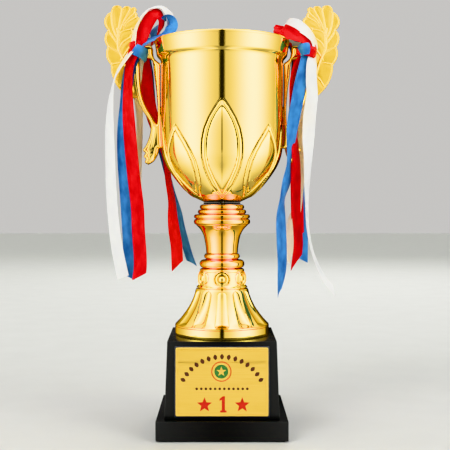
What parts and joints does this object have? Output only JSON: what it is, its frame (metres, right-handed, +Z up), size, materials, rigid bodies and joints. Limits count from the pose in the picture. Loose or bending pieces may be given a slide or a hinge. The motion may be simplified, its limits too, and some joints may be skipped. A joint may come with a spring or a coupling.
{
  "type": "cup trophy",
  "caption": "Two-handled gilt cup on a turned stem and fluted foot, on a square black plinth with a plaque, ribbon bows tied to the leaf-shaped handles.",
  "frame": {"origin": "centre of the resting face, under the middle of the plinth", "axes": "+Z up, -Y out of the plaque, +X to the viewer's right when facing the plaque"},
  "size_m": [0.2224, 0.128, 0.3994],
  "materials": {
    "polished_gold": "bright gold electroplate, mirror polished",
    "satin_gold": "satin gold electroplate with fine cast veins",
    "zinc_steel": "zinc plated",
    "cast_iron": "as cast, painted dark grey",
    "black_plastic": "moulded, soft gloss",
    "black_rubber": "matt",
    "fibre_board": "pressed fibre board",
    "foam_pad": "closed-cell foam sheet",
    "backing_black": "matt adhesive foam tape",
    "plaque_gold": "brushed gold metal sheet with a printed ornament",
    "satin_red": "satin ribbon",
    "satin_white": "satin ribbon",
    "satin_blue": "satin ribbon"
  },
  "bodies": {
    "root": {"plinth_block": "black_plastic", "plinth_slab": "black_plastic", "ballast_disc": "cast_iron", "bottom_cover": "fibre_board", "base_pad": "foam_pad", "plaque_backing": "backing_black", "plaque": "plaque_gold", "foot_bell": "polished_gold", "foot_collar": "polished_gold", "stem_ring": "polished_gold", "stem_knob": "polished_gold", "bowl_gasket": "black_rubber", "cup_bowl": "polished_gold", "tie_rod": "zinc_steel", "cup_washer": "zinc_steel", "cup_nut": "zinc_steel", "base_washer": "zinc_steel", "base_nut": "zinc_steel", "plinth_screw_1": "zinc_steel", "plinth_screw_2": "zinc_steel", "plinth_screw_3": "zinc_steel", "plinth_screw_4": "zinc_steel", "handle_left": "satin_gold", "handle_screw_left_upper": "zinc_steel", "handle_washer_left_upper": "zinc_steel", "handle_screw_left_lower": "zinc_steel", "handle_washer_left_lower": "zinc_steel", "ribbon_knot_left": "satin_blue", "handle_right": "satin_gold", "handle_screw_right_upper": "zinc_steel", "handle_washer_right_upper": "zinc_steel", "handle_screw_right_lower": "zinc_steel", "handle_washer_right_lower": "zinc_steel", "ribbon_knot_right": "satin_blue", "ribbon_left_loop_outer": "satin_white", "ribbon_left_loop_middle": "satin_red", "ribbon_left_loop_inner": "satin_blue", "ribbon_left_tail_front_1": "satin_white", "ribbon_left_tail_front_2": "satin_blue", "ribbon_left_tail_front_3": "satin_red", "ribbon_left_tail_rear_1": "satin_white", "ribbon_left_tail_rear_2": "satin_red", "ribbon_left_tail_rear_3": "satin_blue", "ribbon_right_loop_outer": "satin_white", "ribbon_right_loop_middle": "satin_red", "ribbon_right_loop_inner": "satin_blue", "ribbon_right_tail_front_1": "satin_white", "ribbon_right_tail_front_2": "satin_red", "ribbon_right_tail_front_3": "satin_blue", "ribbon_right_tail_rear_1": "satin_white", "ribbon_right_tail_rear_2": "satin_blue", "ribbon_right_tail_rear_3": "satin_red"}
  },
  "joints": []
}
